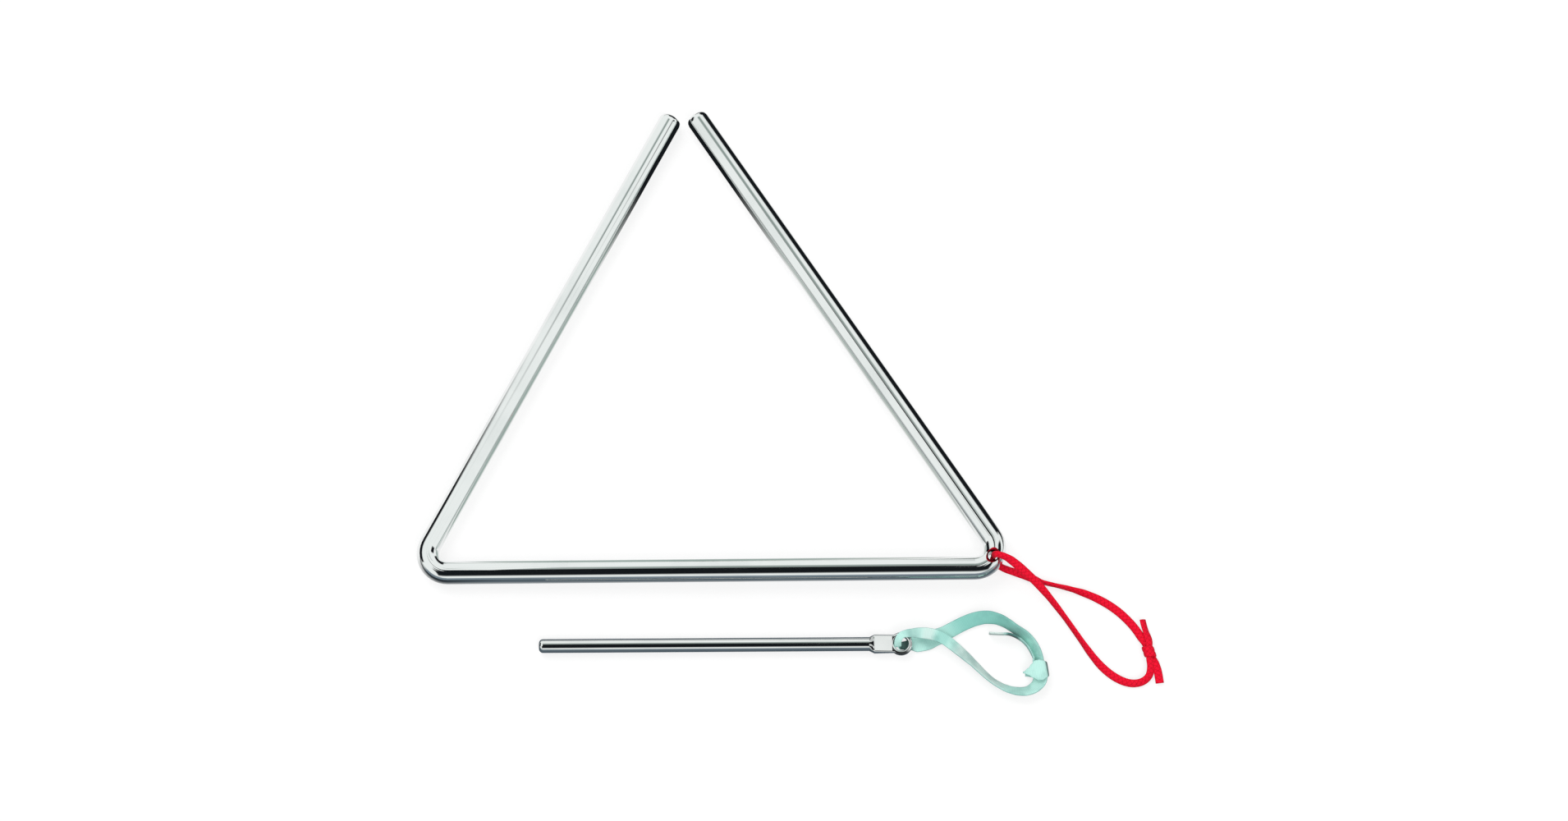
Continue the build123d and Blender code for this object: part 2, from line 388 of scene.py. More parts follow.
@dataclass(frozen=True)
class ChromeFinish:
    """Bright plating over drawn steel rod, with faint smears and hairline scratches, sized in metres."""

    name: str
    bright: Colour
    dull: Colour
    smooth: float
    smeared: float
    shoulder: Step | None = None
    eye: Step | None = None
    hole: Step | None = None
    # Dark colour of the painted shade round the hole and of the painted dark reflections at the shoulder and
    # the eye's lower rim.
    painted_dark: Colour = (0.03, 0.035, 0.035, 1.0)
    shoulder_dark_share: float = 0.35
    shoulder_dark_edge: float = 0.0003
    # How much of the painted dark reflection the eye's lower rim gets, and over what reach.
    rim_dark_share: float = 0.82
    rim_along: float = 0.001
    rim_across: float = 0.0018
    # Where the painted shade round the hole fades out, and where it is full.
    wall: Step = (0.0025, 0.0019)
    smear_scale: float = 55.0
    smear_step: Step = (0.42, 0.72)
    grain_scale: float = 2600.0
    grain_share: float = 0.02
    waver_scale: float = 34.0
    relief: float = 0.000024

    def material(self) -> bpy.types.Material:
        """Return the plating's material."""
        made = bpy.data.materials.new(self.name)
        sheet = NodeSheet(made)
        place = sheet.coords("Object")
        smear = sheet.ramp(sheet.noise(place, self.smear_scale, detail=4.0), *self.smear_step)
        grain = sheet.times(sheet.noise(place, self.grain_scale, detail=2.0), self.grain_share)
        waver = sheet.noise(place, self.waver_scale, detail=1.0)
        height = sheet.times(sheet.plus(grain, waver), self.relief)
        sheet.surface(
            Base_Color=self.marked(sheet, sheet.blend(smear, self.bright, self.dull)),
            Metallic=1.0,
            Roughness=sheet.plus(sheet.times(smear, self.smeared - self.smooth), self.smooth),
            Normal=sheet.bump(height, 1.0, 1.0),
        )
        return made

    def marked(self, sheet: NodeSheet, colour: Socket) -> Socket:
        """Return the plating's colour with painted shade round the hole, and painted dark reflections across
        the shoulder and along the eye's lower rim.

        Args:
            sheet: The nodes being wired.
            colour: The plain plating's colour.

        Returns:
            The colour's output.
        """
        x, y, _ = sheet.parts("Object")
        # Painted shade in and round the drilled hole.
        if self.hole is not None:
            away = sheet.reach(sheet.less(x, self.hole[0]), sheet.less(y, self.hole[1]))
            colour = sheet.blend(sheet.ramp(away, *self.wall), colour, self.painted_dark)
        # Painted dark reflection across the shoulder.
        if self.shoulder is not None:
            start, end = self.shoulder
            edge = sheet.band(x, (start, start + self.shoulder_dark_edge, end - self.shoulder_dark_edge, end))
            colour = sheet.blend(sheet.times(edge, self.shoulder_dark_share), colour, self.painted_dark)
        # Painted dark reflection along the eye's lower rim.
        if self.eye is not None:
            beyond = sheet.ramp(x, self.eye[0], self.eye[0] + self.rim_along)
            low = sheet.ramp(y, self.eye[1], self.eye[1] - self.rim_across)
            colour = sheet.blend(sheet.times(sheet.times(beyond, low), self.rim_dark_share), colour, self.painted_dark)
        return colour


@dataclass(frozen=True)
class BraidFinish:
    """Plaited red lace: crossing strands with painted shade in the valleys between them, and a soft sheen."""

    name: str
    strand: Colour
    valley_shade: Colour
    pitch_mm: float
    strands_round: int
    valley_shade_step: Step = (0.1, 0.75)
    relief: Step = (0.35, 0.00012)

    def material(self) -> bpy.types.Material:
        """Return the lace's material."""
        made = bpy.data.materials.new(self.name)
        sheet = NodeSheet(made)
        run, turn, _ = sheet.parts("UV")
        along = sheet.math("DIVIDE", run, self.pitch_mm)
        around = sheet.times(turn, float(self.strands_round))
        rising = sheet.plus(along, around)
        falling = sheet.less(along, around)
        parity = sheet.plus(sheet.math("FLOOR", rising), sheet.math("FLOOR", falling))
        over = sheet.math("PINGPONG", parity, 1.0)
        height = sheet.mix("FLOAT", over, self.crown(sheet, rising), self.crown(sheet, falling))
        sheet.surface(
            # Painted shade in the valleys between strands.
            Base_Color=sheet.blend(sheet.ramp(height, *self.valley_shade_step), self.valley_shade, self.strand),
            Roughness=0.55,
            Specular_IOR_Level=0.12,
            Sheen_Weight=0.03,
            Normal=sheet.bump(height, *self.relief),
        )
        return made

    def crown(self, sheet: NodeSheet, phase: Socket) -> Socket:
        """Return a strand's rounded height.

        Args:
            sheet: The nodes being wired.
            phase: Count of strands crossed so far.

        Returns:
            The height's output, 1 along the strand's middle.
        """
        offset = sheet.math("ABSOLUTE", sheet.less(sheet.math("FRACT", phase), 0.5))
        return sheet.less(1.0, sheet.times(sheet.times(offset, offset), 4.0))


@dataclass(frozen=True)
class Tinge:
    """A stretch of a lace, in millimetres along it, that is given another tone, such as painted shade or a
    painted highlight.
    """

    edges: Edges
    tone: Colour
    share: float
    through: bool = False


@dataclass(frozen=True)
class RibbonFinish:
    """Flat woven mint lace: a pale satin face, a deeper back, fine cross ribs and bound edges, with stretches
    of painted shade and painted highlight.
    """

    name: str
    face: Colour
    back: Colour
    deeper_teal: Colour
    edge: Colour
    rib_mm: float
    # Stretch, in millimetres along the lace, that gets painted shade where the lace runs under the eye; on
    # the back only unless it goes through.
    shaded_mm: Edges = (-2.0, -1.0, 4.6, 6.2)
    shaded_through: bool = False
    shaded_share: float = 0.85
    # Stretch in millimetres along the lace where the back is a deeper teal.
    deeper_teal_mm: Edges = (14.0, 26.0, 38.0, 54.0)
    faded: Step = (82.0, 84.0)
    # Dark colour of the painted shade and painted shadows on the lace.
    painted_shade: Colour = (0.012, 0.035, 0.035, 1.0)
    # Pale colour of the lace's pale tail end and of its painted highlights.
    pale_and_highlight: Colour = (0.74, 0.86, 0.82, 1.0)
    tinges: tuple[Tinge, ...] = ()
    rib_share: float = 0.12
    bound_edges: Edges = (0.35, 0.41, 0.44, 0.48)
    bound_share: float = 0.55
    bound_height: float = 1.5
    worn_scale: float = 170.0
    worn_step: Step = (0.42, 0.7)
    worn_share: float = 0.35
    relief: Step = (0.25, 0.00006)

    def material(self) -> bpy.types.Material:
        """Return the ribbon's material."""
        made = bpy.data.materials.new(self.name)
        sheet = NodeSheet(made)
        run, turn, _ = sheet.parts("UV")
        half = sheet.math("FRACT", sheet.times(turn, 2.0))
        inward = sheet.math("ABSOLUTE", sheet.less(half, 0.5))
        fade = sheet.ramp(run, *self.faded)
        bound = sheet.times(sheet.band(inward, self.bound_edges), sheet.less(1.0, fade))
        wave = sheet.math("SINE", sheet.times(run, FULL_TURN / self.rib_mm))
        rib = sheet.plus(sheet.times(wave, 0.5), 0.5)
        drift = sheet.noise(sheet.coords("Object"), self.worn_scale, detail=4.0)
        wear = sheet.times(sheet.ramp(drift, *self.worn_step), self.worn_share)
        cloth = sheet.blend(fade, self.cloth_and_painted_light(sheet, run, turn), self.pale_and_highlight)
        cloth = sheet.blend(wear, cloth, self.edge)
        cloth = sheet.blend(sheet.times(rib, self.rib_share), cloth, self.edge)
        height = sheet.plus(rib, sheet.times(bound, self.bound_height))
        sheet.surface(
            Base_Color=sheet.blend(sheet.times(bound, self.bound_share), cloth, self.edge),
            Roughness=0.5,
            Specular_IOR_Level=0.3,
            Sheen_Weight=0.12,
            Sheen_Roughness=0.4,
            Normal=sheet.bump(height, *self.relief),
        )
        return made

    def cloth_and_painted_light(self, sheet: NodeSheet, run: Socket, turn: Socket) -> Socket:
        """Return the colours of face and back, with a deeper teal stretch on the back, then the tinges and
        one stretch of painted shade laid over them.

        Args:
            sheet: The nodes being wired.
            run: Millimetres along the lace.
            turn: Place round the lace, in turns.

        Returns:
            The colour's output.
        """
        back = sheet.math("GREATER_THAN", sheet.math("FRACT", turn), 0.5)
        # The back turns a deeper teal on one stretch.
        deeper_teal = sheet.band(run, self.deeper_teal_mm)
        cloth = sheet.blend(back, self.face, sheet.blend(deeper_teal, self.back, self.deeper_teal))
        # Tinges lay painted shade, painted highlights and a deeper teal over stretches of the lace.
        for tinge in self.tinges:
            share = sheet.times(sheet.band(run, tinge.edges), tinge.share)
            if not tinge.through:
                share = sheet.times(share, sheet.less(1.0, back))
            cloth = sheet.blend(share, cloth, tinge.tone)
        # One stretch of painted shade, on the back only unless it goes through.
        shade_share = sheet.times(sheet.band(run, self.shaded_mm), self.shaded_share)
        if not self.shaded_through:
            shade_share = sheet.times(shade_share, back)
        return sheet.blend(shade_share, cloth, self.painted_shade)


@dataclass
class Lace:
    """A flat lace along one smooth line, read from a NURBS spline through its stations."""

    name: str
    origin: Vector
    stations: Sequence[Station]
    width_mm: float
    thickness_mm: float
    finish: bpy.types.Material
    breadth: Breadth = Breadth.LEVEL
    axis: Vector = field(default_factory=lambda: level_way(90.0))
    sides: int = 16
    squareness: float = 0.75
    samples: int = 10
    order: int = 3
    steepest: float = 0.3
    line: list[Vector] = field(default_factory=list)

    def build(self) -> bpy.types.Object:
        """Return the lace as a closed mesh in the scene."""
        self.line = self.read_line()
        shape = bmesh.new()
        across = shape.verts.layers.float.new("across")
        deep = shape.verts.layers.float.new("deep")
        around = shape.verts.layers.float.new("around")
        along = shape.verts.layers.float.new("along")
        ring = bmesh.ops.create_circle(shape, cap_ends=False, radius=1.0, segments=self.sides)["verts"]
        for vert in ring:
            angle = math.atan2(vert.co.y, vert.co.x) % FULL_TURN
            vert[across] = math.copysign(abs(math.cos(angle)) ** self.squareness, math.cos(angle))
            vert[deep] = math.copysign(abs(math.sin(angle)) ** self.squareness, math.sin(angle))
            vert[around] = angle / FULL_TURN
        edges = list(shape.edges)
        bmesh.ops.contextual_create(shape, geom=edges)
        broad = self.breadths()
        half_depth = self.thickness_mm * MM / 2.0
        run = 0.0
        for index, point in enumerate(self.line):
            if index:
                run += (point - self.line[index - 1]).length
                grown = bmesh.ops.extrude_edge_only(shape, edges=edges)["geom"]
                ring = [item for item in grown if isinstance(item, bmesh.types.BMVert)]
                edges = [item for item in grown if isinstance(item, bmesh.types.BMEdge) and item.is_boundary]
            upright = self.heading(index).cross(broad[index]).normalized()
            half_width = self.width_mm * MM / 2.0 * self.at(index, "spread")
            for vert in ring:
                vert[along] = run / MM
                vert.co = point + broad[index] * vert[across] * half_width + upright * vert[deep] * half_depth
        bmesh.ops.contextual_create(shape, geom=edges)
        bmesh.ops.recalc_face_normals(shape, faces=shape.faces)
        self.unwrap(shape, along, around)
        return put_in_scene(self.name, shape, self.finish)

    def unwrap(self, shape: bmesh.types.BMesh, along: Any, around: Any) -> None:
        """Lay the UV map out: millimetres along the lace, and one turn round it.

        Args:
            shape: The lace's mesh.
            along: Vertex layer of the run so far.
            around: Vertex layer of the place round the section.
        """
        layer = shape.loops.layers.uv.new("lace")
        for face in shape.faces:
            face.smooth = len(face.verts) == 4
            turns = [loop.vert[around] for loop in face.loops]
            wraps = face.smooth and max(turns) - min(turns) > 0.5
            for loop, turn in zip(face.loops, turns):
                loop[layer].uv = (loop.vert[along], turn + 1.0 if wraps and turn < 0.5 else turn)

    def read_line(self) -> list[Vector]:
        """Return points along the NURBS spline that has the stations as its control points."""
        curve = bpy.data.curves.new(self.name + "_line", "CURVE")
        curve.dimensions = "3D"
        spline = curve.splines.new("NURBS")
        spline.points.add(len(self.stations) - 1)
        for control, station in zip(spline.points, self.stations):
            place = self.origin + Vector((station.x, station.y, station.z)) * MM
            control.co = (*place, 1.0)
        spline.order_u = self.order
        spline.use_endpoint_u = True
        spline.resolution_u = self.samples
        carrier = bpy.data.objects.new(self.name + "_line", curve)
        mesh = bpy.data.meshes.new_from_object(carrier)
        points = [vert.co.copy() for vert in mesh.vertices]
        bpy.data.objects.remove(carrier)
        bpy.data.curves.remove(curve)
        bpy.data.meshes.remove(mesh)
        return points

    def heading(self, index: int) -> Vector:
        """Return the line's direction at a point.

        Args:
            index: Which point of the line.

        Returns:
            A unit vector.
        """
        before = self.line[max(index - 1, 0)]
        after = self.line[min(index + 1, len(self.line) - 1)]
        return (after - before).normalized()

    def at(self, index: int, name: str) -> float:
        """Return a station value carried along the line.

        Args:
            index: Which point of the line.
            name: The station's field.

        Returns:
            The value between the two nearest stations.
        """
        place = index / (len(self.line) - 1) * (len(self.stations) - 1)
        low = min(int(place), len(self.stations) - 2)
        share = place - low
        share = share * share * (3.0 - 2.0 * share)
        first = getattr(self.stations[low], name)
        return first + (getattr(self.stations[low + 1], name) - first) * share

    def breadths(self) -> list[Vector]:
        """Return the direction of the lace's broad side at each point of its line."""
        found: list[Vector | None] = []
        for index in range(len(self.line)):
            heading = self.heading(index)
            if self.breadth is Breadth.AXIAL:
                found.append((self.axis - heading * self.axis.dot(heading)).normalized())
                continue
            level = UP.cross(heading)
            if level.length < self.steepest:
                found.append(None)
                continue
            level.normalize()
            lean = math.radians(self.at(index, "lean"))
            found.append(level * math.cos(lean) + heading.cross(level).normalized() * math.sin(lean))
        known = [index for index, value in enumerate(found) if value is not None]
        filled = []
        for index in range(len(found)):
            nearest = min(known, key=lambda other: abs(other - index))
            heading = self.heading(index)
            broad = found[nearest]
            filled.append((broad - heading * broad.dot(heading)).normalized())
        return filled

    def length(self) -> float:
        """Return the line's length in metres."""
        return sum((after - before).length for before, after in zip(self.line, self.line[1:]))


@dataclass
class HangerCord:
    """The red lace through the drilled corner: one strand over the bar, one under it, tied together."""

    hole: Vector
    finish: bpy.types.Material
    width_mm: float = 2.9
    thickness_mm: float = 1.3
    squareness: float = 0.9
    leaves_at_mm: float = 6.7
    knot_place: Place = (53.5, -32.4, 1.95)
    knot_heading: float = 107.0
    knot_length_mm: float = 4.0
    knot_width_mm: float = 2.0
    knot_thickness_mm: float = 0.85
    knot_turns: float = 2.25
    knot_steps: int = 32
    knot_tuck: float = 0.1
    knot_core_mm: float = 0.9
    knot_rise_mm: float = 0.75
    knot_oval: Step = (1.02, 0.94)

    def over_stations(self) -> list[Station]:
        """Return the strand that comes up out of the hole, goes over the bar and ends in the upper tail."""
        return lay_out(
            (0.2, 0.2, 6.7, 30, 0.8), (0.2, 0.2, 12.6, 36, 0.8), (3.0, -0.4, 12.2, 40, 0.9),
            (5.5, -1.6, 11.9, 30, 1.05), (8.3, -3.7, 11.1, 18, 1.05), (11.1, -5.9, 9.8, 14),
            (14.8, -9.0, 7.9, 28), (19.2, -13.6, 5.7, 56), (24.8, -20.6, 3.4, 68),
            (29.6, -27.4, 2.0, 66), (33.8, -33.6, 1.5, 50), (37.6, -38.2, 1.2, 28),
            (41.9, -41.6, 1.1, 24), (46.4, -43.5, 1.1, 30), (50.4, -43.3, 1.1, 34),
            (53.3, -41.3, 1.2, 34), (54.1, -38.3, 1.7, 26), (53.5, -35.2, 2.4, 6, 0.8),
            (53.4, -32.4, 2.6, 0, 0.72), (53.8, -29.6, 2.3, 10, 0.8), (53.2, -26.8, 1.8, 30),
            (52.3, -24.0, 1.4, 44), (51.8, -21.2, 1.3, 44),
        )

    def under_stations(self) -> list[Station]:
        """Return the strand that goes down the hole, under the bar and ends in the lower tail."""
        return lay_out(
            (0.0, 0.0, 6.7, 0, 0.8), (0.0, 0.0, 1.0, 0, 0.8), (4.0, -2.7, 0.9, 0, 0.9),
            (8.9, -4.3, 0.9, 4), (11.6, -5.2, 1.0, 14), (14.3, -6.5, 1.3, 45),
            (17.0, -7.7, 1.5, 80), (21.6, -8.8, 1.5, 84), (26.6, -10.0, 1.5, 72),
            (32.6, -11.9, 1.35, 44), (38.4, -14.6, 1.1, 22), (43.4, -18.0, 1.0, 14),
            (47.4, -22.0, 1.0, 18), (49.6, -24.9, 1.1, 20), (51.3, -27.7, 1.3, 10),
            (52.6, -30.2, 1.45, 0, 0.8), (53.7, -32.4, 1.4, 0, 0.72), (55.0, -35.0, 1.4, -4, 0.8),
            (56.1, -37.8, 1.2, -4), (56.7, -40.6, 0.9, 0), (57.0, -43.3, 0.8, 0),
        )

    def knot_stations(self) -> list[Station]:
        """Return the turns drawn tight round both strands, with their ends tucked inside."""
        along = level_way(self.knot_heading)
        level = Vector((along.y, -along.x, 0.0))
        made = []
        for step in range(self.knot_steps + 1):
            share = step / self.knot_steps
            angle = FULL_TURN * self.knot_turns * share - FULL_TURN / 4.0
            tuck = min(share, 1.0 - share, self.knot_tuck) / self.knot_tuck
            reach = self.knot_core_mm + self.knot_rise_mm * tuck
            aside = math.cos(angle) * reach * self.knot_oval[0]
            above = math.sin(angle) * reach * self.knot_oval[1]
            place = Vector(self.knot_place) + along * (self.knot_length_mm * (share - 0.5))
            place = place + level * aside + UP * above
            made.append(Station(place.x, place.y, place.z))
        return made

    def build(self) -> None:
        """Build both strands and the knot, hang them on the hanger and hide the CAD nodes they stand for."""
        over = self.strand("hanger_over", self.over_stations())
        under = self.strand("hanger_under", self.under_stations())
        knot = Lace(
            "hanger_knot_turns", self.hole, self.knot_stations(), self.knot_width_mm, self.knot_thickness_mm,
            self.finish, Breadth.AXIAL, level_way(self.knot_heading),
        )
        turns = knot.build()
        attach(turns, "hanger")
        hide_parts("hanger_knot")
        self.declare(over, ["hanger_bight", "hanger_over_run", "hanger_upper_tail"], [turns])
        self.declare(under, ["hanger_under_run", "hanger_lower_tail"], [])

    def strand(self, name: str, stations: list[Station]) -> tuple[Lace, bpy.types.Object]:
        """Return one strand and its mesh.

        Args:
            name: The piece's name.
            stations: Its control points.

        Returns:
            The lace and its object.
        """
        lace = Lace(
            name, self.hole, stations, self.width_mm, self.thickness_mm, self.finish,
            squareness=self.squareness,
        )
        return lace, lace.build()

    def declare(
        self, strand: tuple[Lace, bpy.types.Object], nodes: list[str], pieces: list[bpy.types.Object]
    ) -> None:
        """Make a strand ride on its body and stand for its nodes, and log its length.

        Args:
            strand: The lace and its object.
            nodes: The CAD nodes that it stands for.
            pieces: What is tied on it; not used.
        """
        lace, made = strand
        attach(made, "hanger")
        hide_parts(*nodes)
        lace.length()
        LOG.info("%s: %.1f mm long", made.name, lace.length() / MM)


@dataclass
class HandStrap:
    """The mint lace through the beater's eye, its two runs tied into a loop."""

    web: Vector
    finish: bpy.types.Material
    fold_finish: bpy.types.Material
    width_mm: float = 5.0
    thickness_mm: float = 0.75
    squareness: float = 0.5
    bend_mm: Step = (-1.0, 11.0)
    fold_heading: float = 277.0
    fold_width_mm: float = 5.2

    def upper_stations(self) -> list[Station]:
        """Return the run that comes from under the eye, back face up, and ends in the short tail."""
        return lay_out(
            (-4.0, -0.6, 2.4, 180, 0.5), (-3.4, -0.5, 0.45, 180, 0.6), (0.8, 0.3, 0.45, 180, 1.25),
            (4.5, 0.9, 0.55, 181, 1.3), (8.1, 2.1, 0.75, 184, 1.15), (11.6, 3.6, 0.95, 188, 1.02),
            (15.2, 5.5, 1.15, 192), (18.9, 7.4, 1.35, 197), (22.7, 8.8, 1.7, 204),
            (26.6, 9.4, 2.0, 214), (30.7, 8.6, 2.3, 230), (33.9, 6.8, 2.45, 238),
            (36.8, 4.6, 2.5, 241), (39.5, 3.0, 2.5, 242), (41.8, 0.5, 2.5, 242),
            (43.2, -2.0, 2.5, 241), (43.9, -4.6, 2.4, 236), (44.2, -7.2, 2.1, 222, 0.9),
            (43.6, -9.4, 1.5, 202, 0.8), (41.6, -10.4, 1.2, 188, 0.75), (39.4, -10.4, 1.0, 182, 0.4),
        )

    def lower_stations(self) -> list[Station]:
        """Return the run that comes from over the eye, crosses the other and ends in the long tail."""
        return lay_out(
            (-4.3, -0.8, 2.2, 0, 0.5), (-4.5, 0.6, 4.4, 0, 0.5), (-3.4, 2.6, 4.9, 4, 0.5),
            (-1.2, 3.3, 4.75, 10, 0.58), (1.4, 3.4, 4.7, 16, 0.72), (4.4, 3.4, 4.7, 20, 0.8),
            (7.9, 2.9, 4.6, 16, 0.8), (11.4, 1.5, 4.4, -4, 0.78), (14.5, -0.8, 3.9, -24, 0.84),
            (18.0, -3.7, 3.2, -42, 0.95), (21.7, -7.0, 2.7, -54), (24.7, -10.1, 2.5, -58),
            (27.6, -12.8, 2.45, -60), (30.5, -14.7, 2.4, -58), (33.7, -16.2, 2.35, -53),
            (37.2, -16.9, 2.3, -48), (40.3, -16.7, 2.2, -45), (43.0, -15.2, 2.3, -36),
            (44.7, -12.7, 2.7, -20), (44.6, -9.6, 2.9, -8, 0.9), (43.1, -7.0, 2.7, 50, 0.8),
            (42.1, -4.4, 2.55, 84), (41.2, -2.4, 2.55, 85), (39.9, -0.4, 2.55, 85),
            (38.2, 1.2, 2.55, 85), (36.3, 2.4, 2.55, 85), (34.0, 3.3, 2.55, 85),
            (31.2, 3.2, 2.55, 85), (27.3, 3.5, 2.55, 85),
        )

    def leaf_stations(self) -> list[Station]:
        """Return the knot's fold, up round the right side of both runs to a narrow tip on the left."""
        return lay_out(
            (42.6, -9.6, 0.6, 0, 0.8), (45.2, -9.4, 0.7, 0, 0.85), (46.9, -9.3, 1.7, 0, 0.92),
            (47.0, -9.2, 3.2, 0, 1.02), (46.2, -9.4, 4.2, 0, 1.2), (44.6, -9.7, 4.5, 0, 1.4),
            (42.9, -9.9, 4.3, 0, 1.38), (41.4, -10.1, 3.8, 0, 0.98), (40.0, -10.2, 3.1, 0, 0.5),
            (38.7, -10.3, 2.5, 0, 0.12),
        )

    def build(self) -> None:
        """Build both runs and the knot, hang the knot on the strap and hide the CAD nodes they stand for."""
        knot = Lace(
            "strap_knot_fold", self.web, self.leaf_stations(), self.fold_width_mm, self.thickness_mm,
            self.fold_finish, Breadth.AXIAL, level_way(self.fold_heading), squareness=self.squareness,
        )
        band = knot.build()
        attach(band, "strap")
        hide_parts("strap_knot")
        upper = ["strap_bight", "strap_upper_run", "strap_short_tail"]
        lower = ["strap_lower_run", "strap_long_tail"]
        self.declare("strap_upper", self.upper_stations(), upper, [band])
        self.declare("strap_lower", self.lower_stations(), lower, [])

    def declare(
        self, name: str, stations: list[Station], nodes: list[str], pieces: list[bpy.types.Object]
    ) -> None:
        """Build a run, bake its placing into its mesh, hide the CAD nodes it stands for and log its length.

        Args:
            name: The piece's name.
            stations: Its control points.
            nodes: The CAD nodes that it stands for.
            pieces: What is tied on it; not used.
        """
        lace = Lace(
            name, self.web, stations, self.width_mm, self.thickness_mm, self.finish,
            squareness=self.squareness,
        )
        made = lace.build()
        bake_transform(made)
        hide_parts(*nodes)
        LOG.info("%s: %.1f mm long", made.name, lace.length() / MM)


@dataclass
class MetalParts:
    """The bar and the beater, which keep their CAD shapes."""

    nodes: dict[str, bpy.types.Object]

    def dress(self, node: str, finish: ChromeFinish) -> None:
        """Give a CAD node its plating.

        Args:
            node: The node's name.
            finish: The plating.
        """
        piece = self.nodes[node]
        material = finish.material()
        if piece.data.materials:
            piece.data.materials[0] = material
        else:
            piece.data.materials.append(material)
        LOG.info("%s: %s", node, finish.name)


@dataclass(frozen=True)
class Panel:
    """A panel overhead, by the edges in X and Y of the directions that meet it."""

    x: Edges
    y: Edges

    def mask(self, sheet: NodeSheet, way: Sequence[Socket]) -> Socket:
        """Return the panel's mask.

        Args:
            sheet: The nodes being wired.
            way: The three parts of the direction looked in.

        Returns:
            The mask's output.
        """
        return sheet.times(sheet.band(way[0], self.x), sheet.band(way[1], self.y))


@dataclass(frozen=True)
class Wall:
    """A toned stretch of wall: its middle in degrees from +X, the cosines where it fades, and its heights."""

    middle: float
    closeness: Step
    heights: Edges
    tone: Tone
    least_reach: float = 0.001

    def mask(self, sheet: NodeSheet, way: Sequence[Socket]) -> Socket:
        """Return the wall's mask.

        Args:
            sheet: The nodes being wired.
            way: The three parts of the direction looked in.

        Returns:
            The mask's output.
        """
        x, y, z = way
        middle = level_way(self.middle)
        facing = sheet.plus(sheet.times(x, middle.x), sheet.times(y, middle.y))
        side = sheet.math("DIVIDE", facing, sheet.math("MAXIMUM", sheet.reach(x, y), self.least_reach))
        return sheet.times(sheet.ramp(side, *self.closeness), sheet.band(z, self.heights))


@dataclass(frozen=True)
class MirroredTable:
    """The table as the metal mirrors it: white by the bar, dove grey further inside, slate in front.

    The bar's three sides are lines, each as shares of X and Y and an offset, and all steps are in metres.
    """

    left: Place = (0.883, -0.47, 0.0584)
    right: Place = (-0.836, -0.549, 0.0489)
    base: Place = (0.0, 1.0, 0.0697)
    brighter: Step = (0.049, 0.014)
    inside: Step = (0.007, 0.014)
    between: Step = (0.004, 0.0052)
    between_height: Step = (0.03, 0.07)
    outside: Step = (-0.007, -0.014)
    outside_height: Step = (-0.056, -0.04)
    corner: Step = (-0.072, -0.1)
    corner_share: float = 0.75
    front: Step = (-0.06, -0.085)

    def colour(self, sheet: NodeSheet) -> Socket:
        """Return the table's tone.

        Args:
            sheet: The nodes being wired.

        Returns:
            The colour's output.
        """
        x, y, _ = sheet.parts("Object")
        left, right, base = (
            sheet.plus(sheet.plus(sheet.times(x, line[0]), sheet.times(y, line[1])), line[2])
            for line in (self.left, self.right, self.base)
        )
        clear = sheet.math("MINIMUM", sheet.math("MINIMUM", left, right), base)
        tone = sheet.blend(sheet.ramp(right, *self.brighter), Tone.INSIDE.value, Tone.BRIGHT_SIDE.value)
        tone = sheet.blend(sheet.ramp(clear, *self.inside), Tone.WHITE.value, tone)
        between = sheet.times(sheet.ramp(clear, *self.between), sheet.ramp(y, *self.between_height))
        tone = sheet.blend(between, tone, Tone.BLACK.value)
        outside = sheet.times(sheet.ramp(right, *self.outside), sheet.ramp(y, *self.outside_height))
        tone = sheet.blend(outside, tone, Tone.BLACK.value)
        corner = sheet.times(sheet.ramp(x, *self.corner), self.corner_share)
        front = sheet.blend(corner, Tone.SHADE.value, Tone.BLACK.value)
        return sheet.blend(sheet.ramp(y, *self.front), tone, front)


